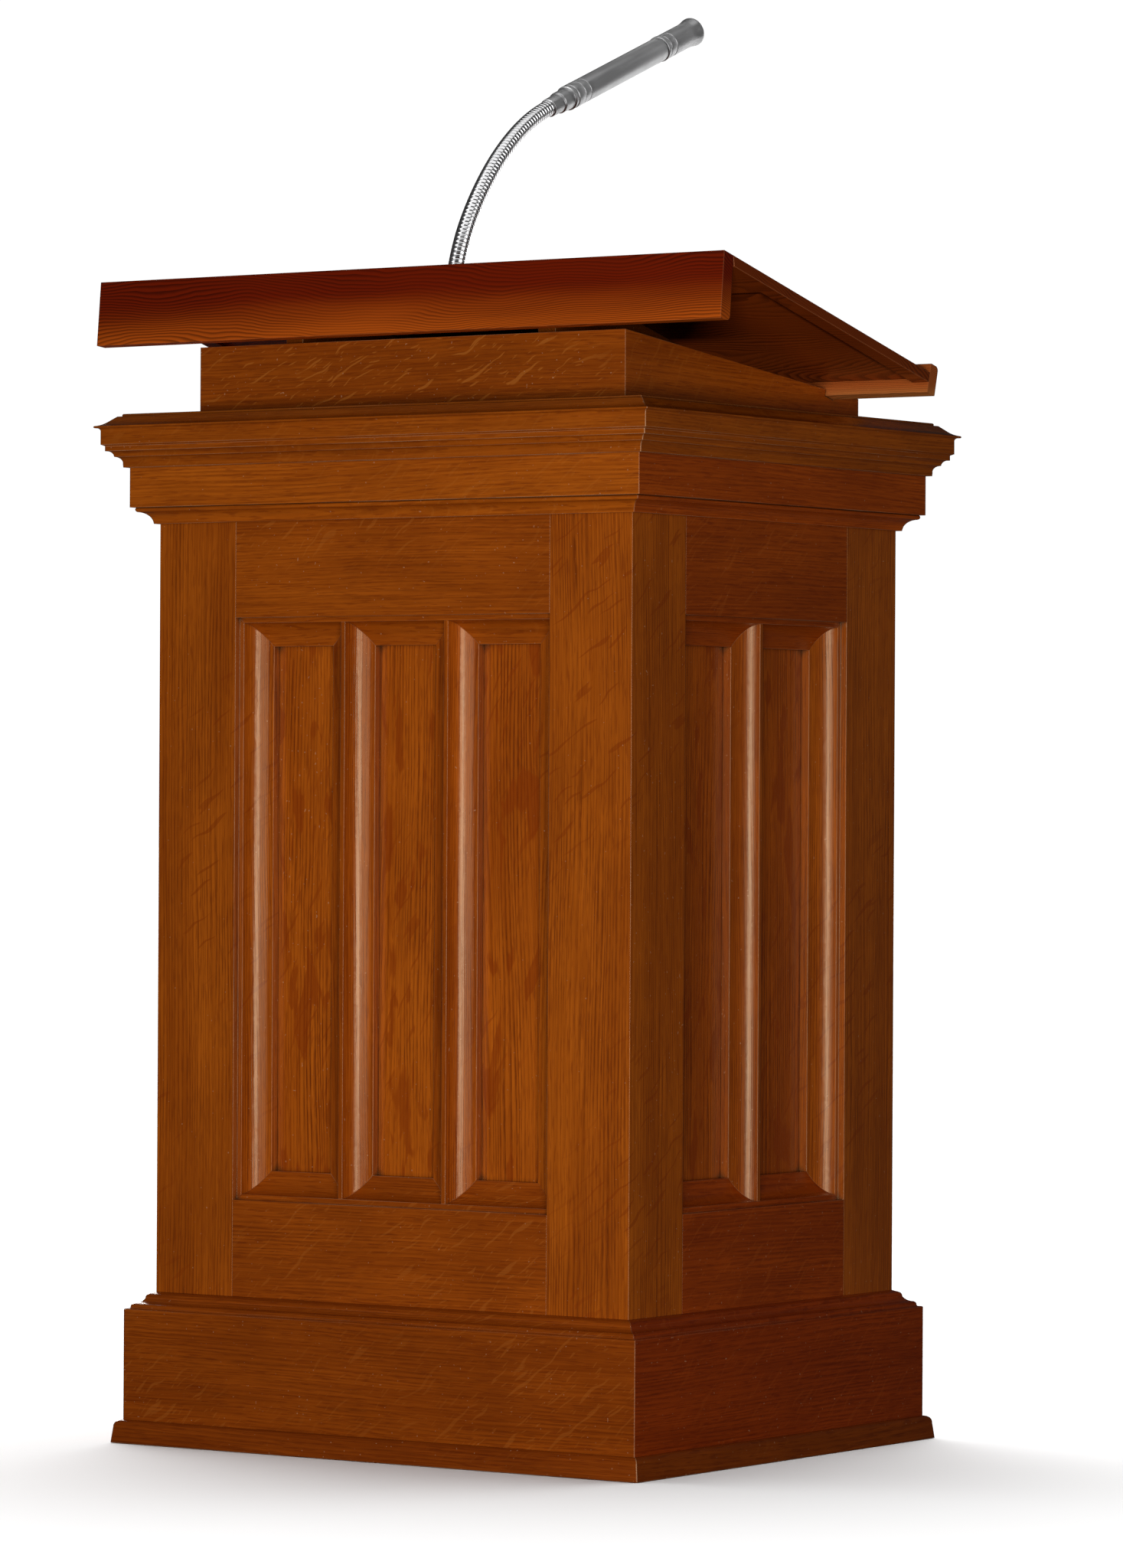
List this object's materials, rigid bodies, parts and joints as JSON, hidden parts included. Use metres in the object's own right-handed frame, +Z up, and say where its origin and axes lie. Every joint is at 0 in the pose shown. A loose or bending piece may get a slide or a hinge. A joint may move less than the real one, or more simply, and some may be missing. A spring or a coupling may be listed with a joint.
{
  "type": "pulpit",
  "caption": "Free-standing wooden pulpit: panelled body with moulded base and cornice, sloping desk with apron and book ledge, and a microphone on a flexible neck.",
  "frame": {"origin": "on the floor, under the middle of the body; the bounding box is centred 5 mm behind it, because the desk overhangs further at the back", "axes": "+Z up, the congregation's side faces -Y, the speaker stands at +Y, +X is to the speaker's left"},
  "size_m": [0.74, 0.5769, 1.4392],
  "materials": {
    "oak": "varnished quarter-sawn oak, satin",
    "inner_oak": "plain oak, matt",
    "red_pine": "stained and varnished softwood, satin",
    "chrome_neck": "bright, ribbed",
    "chrome_flange": "bright",
    "satin_metal": "satin grey",
    "steel_screws": "zinc plated"
  },
  "bodies": {
    "pulpit": {"back_bottom_rail": "oak", "back_left_post": "oak", "back_right_post": "oak", "back_top_rail": "oak", "book_ledge": "red_pine", "bottom_board": "inner_oak", "cornice_moulding_back": "oak", "cornice_moulding_front": "oak", "cornice_moulding_left": "oak", "cornice_moulding_right": "oak", "desk_apron": "red_pine", "desk_bearer_left": "inner_oak", "desk_bearer_right": "inner_oak", "desk_board": "red_pine", "frieze_board_back": "oak", "frieze_board_front": "oak", "frieze_board_left": "oak", "frieze_board_right": "oak", "front_bottom_rail": "oak", "front_left_post": "oak", "front_muntin_left": "oak", "front_muntin_right": "oak", "front_panel_centre": "oak", "front_panel_left": "oak", "front_panel_right": "oak", "front_right_post": "oak", "front_top_rail": "oak", "left_side_bottom_rail": "oak", "left_side_muntin": "oak", "left_side_panel_back": "oak", "left_side_panel_front": "oak", "left_side_top_rail": "oak", "microphone_flange": "chrome_flange", "microphone_flange_screws": "steel_screws", "plinth_board_back": "oak", "plinth_board_front": "oak", "plinth_board_left": "oak", "plinth_board_right": "oak", "right_side_bottom_rail": "oak", "right_side_muntin": "oak", "right_side_panel_back": "oak", "right_side_panel_front": "oak", "right_side_top_rail": "oak", "riser_back_rail": "oak", "riser_front": "oak", "riser_side_left": "oak", "riser_side_right": "oak", "shelf": "inner_oak", "shoe_moulding_back": "oak", "shoe_moulding_front": "oak", "shoe_moulding_left": "oak", "shoe_moulding_right": "oak", "top_board": "oak"},
    "neck_link_one": {"neck_link_1": "chrome_neck"},
    "neck_link_two": {"neck_link_2": "chrome_neck"},
    "neck_link_three": {"neck_link_3": "chrome_neck"},
    "microphone": {"neck_link_4": "chrome_neck", "microphone_collar": "satin_metal", "microphone_barrel": "satin_metal", "microphone_head": "satin_metal"}
  },
  "joints": [
    {"name": "neck_bend_1", "type": "hinge", "parent": "pulpit", "child": "neck_link_one", "pos_m": [0, -0.13062, 1.14818], "axis": [1, 0, 0], "range_deg": [-12, 12]},
    {"name": "neck_bend_2", "type": "hinge", "parent": "neck_link_one", "child": "neck_link_two", "pos_m": [0, -0.10707, 1.2042], "axis": [1, 0, 0], "range_deg": [-12, 12]},
    {"name": "neck_bend_3", "type": "hinge", "parent": "neck_link_two", "child": "neck_link_three", "pos_m": [0, -0.07062, 1.25301], "axis": [1, 0, 0], "range_deg": [-12, 12]},
    {"name": "neck_bend_4", "type": "hinge", "parent": "neck_link_three", "child": "microphone", "pos_m": [0, -0.02538, 1.29375], "axis": [1, 0, 0], "range_deg": [-12, 12]}
  ],
  "couplings": [
    {"joint": "neck_bend_2", "follows": "neck_bend_1", "ratio": 1},
    {"joint": "neck_bend_3", "follows": "neck_bend_1", "ratio": 1},
    {"joint": "neck_bend_4", "follows": "neck_bend_1", "ratio": 1}
  ]
}
